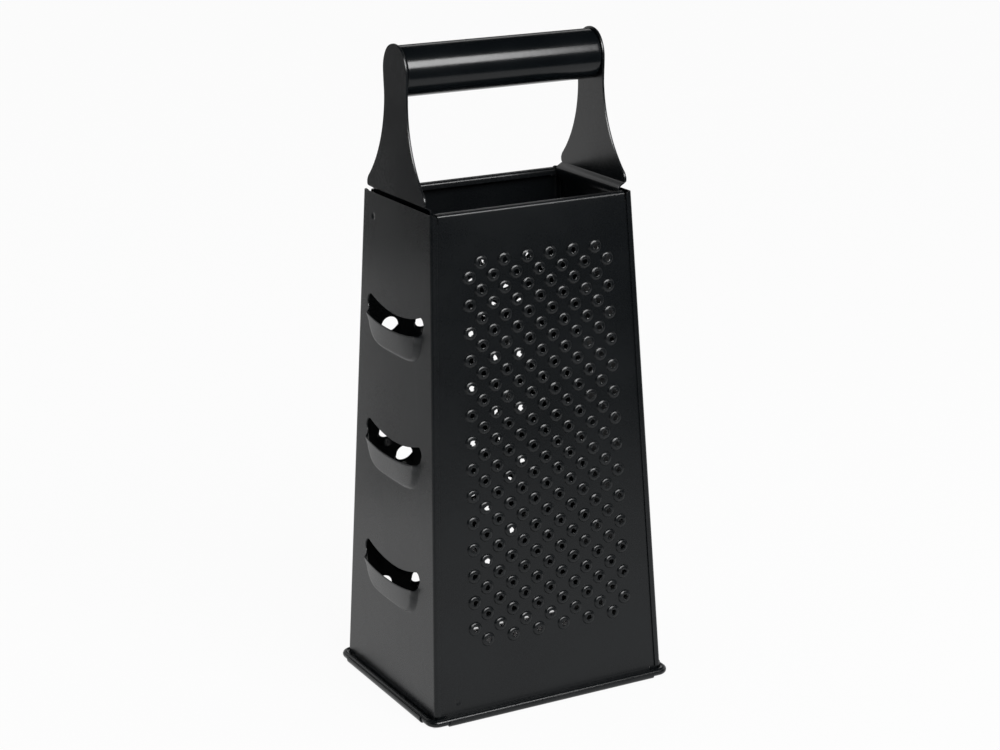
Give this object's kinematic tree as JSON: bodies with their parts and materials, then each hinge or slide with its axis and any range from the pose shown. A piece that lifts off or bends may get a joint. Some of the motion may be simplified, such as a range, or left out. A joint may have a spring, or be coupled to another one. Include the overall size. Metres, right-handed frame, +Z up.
{
  "type": "box grater",
  "caption": "Free-standing tapered box grater with slicing, fine, coarse and zesting sides, a rolled base rim and a tube grip on two flat brackets.",
  "frame": {"origin": "middle of the base, on the surface the grater stands on", "axes": "+Z up, -Y towards the fine grating side, -X towards the slicing side"},
  "size_m": [0.1022, 0.0804, 0.2404],
  "materials": {
    "coated_sheet": "satin black coating on thin steel sheet",
    "coated_bracket": "satin black coating on steel strip",
    "coated_grip": "smooth satin black coating on steel tube",
    "coated_wire": "satin black coating on steel wire"
  },
  "bodies": {
    "root": {"front_panel": "coated_sheet", "back_panel": "coated_sheet", "left_panel": "coated_sheet", "right_panel": "coated_sheet", "base_wire": "coated_wire", "left_bracket": "coated_bracket", "right_bracket": "coated_bracket", "grip_tube": "coated_grip", "left_grip_cup": "coated_bracket", "right_grip_cup": "coated_bracket"}
  },
  "joints": []
}
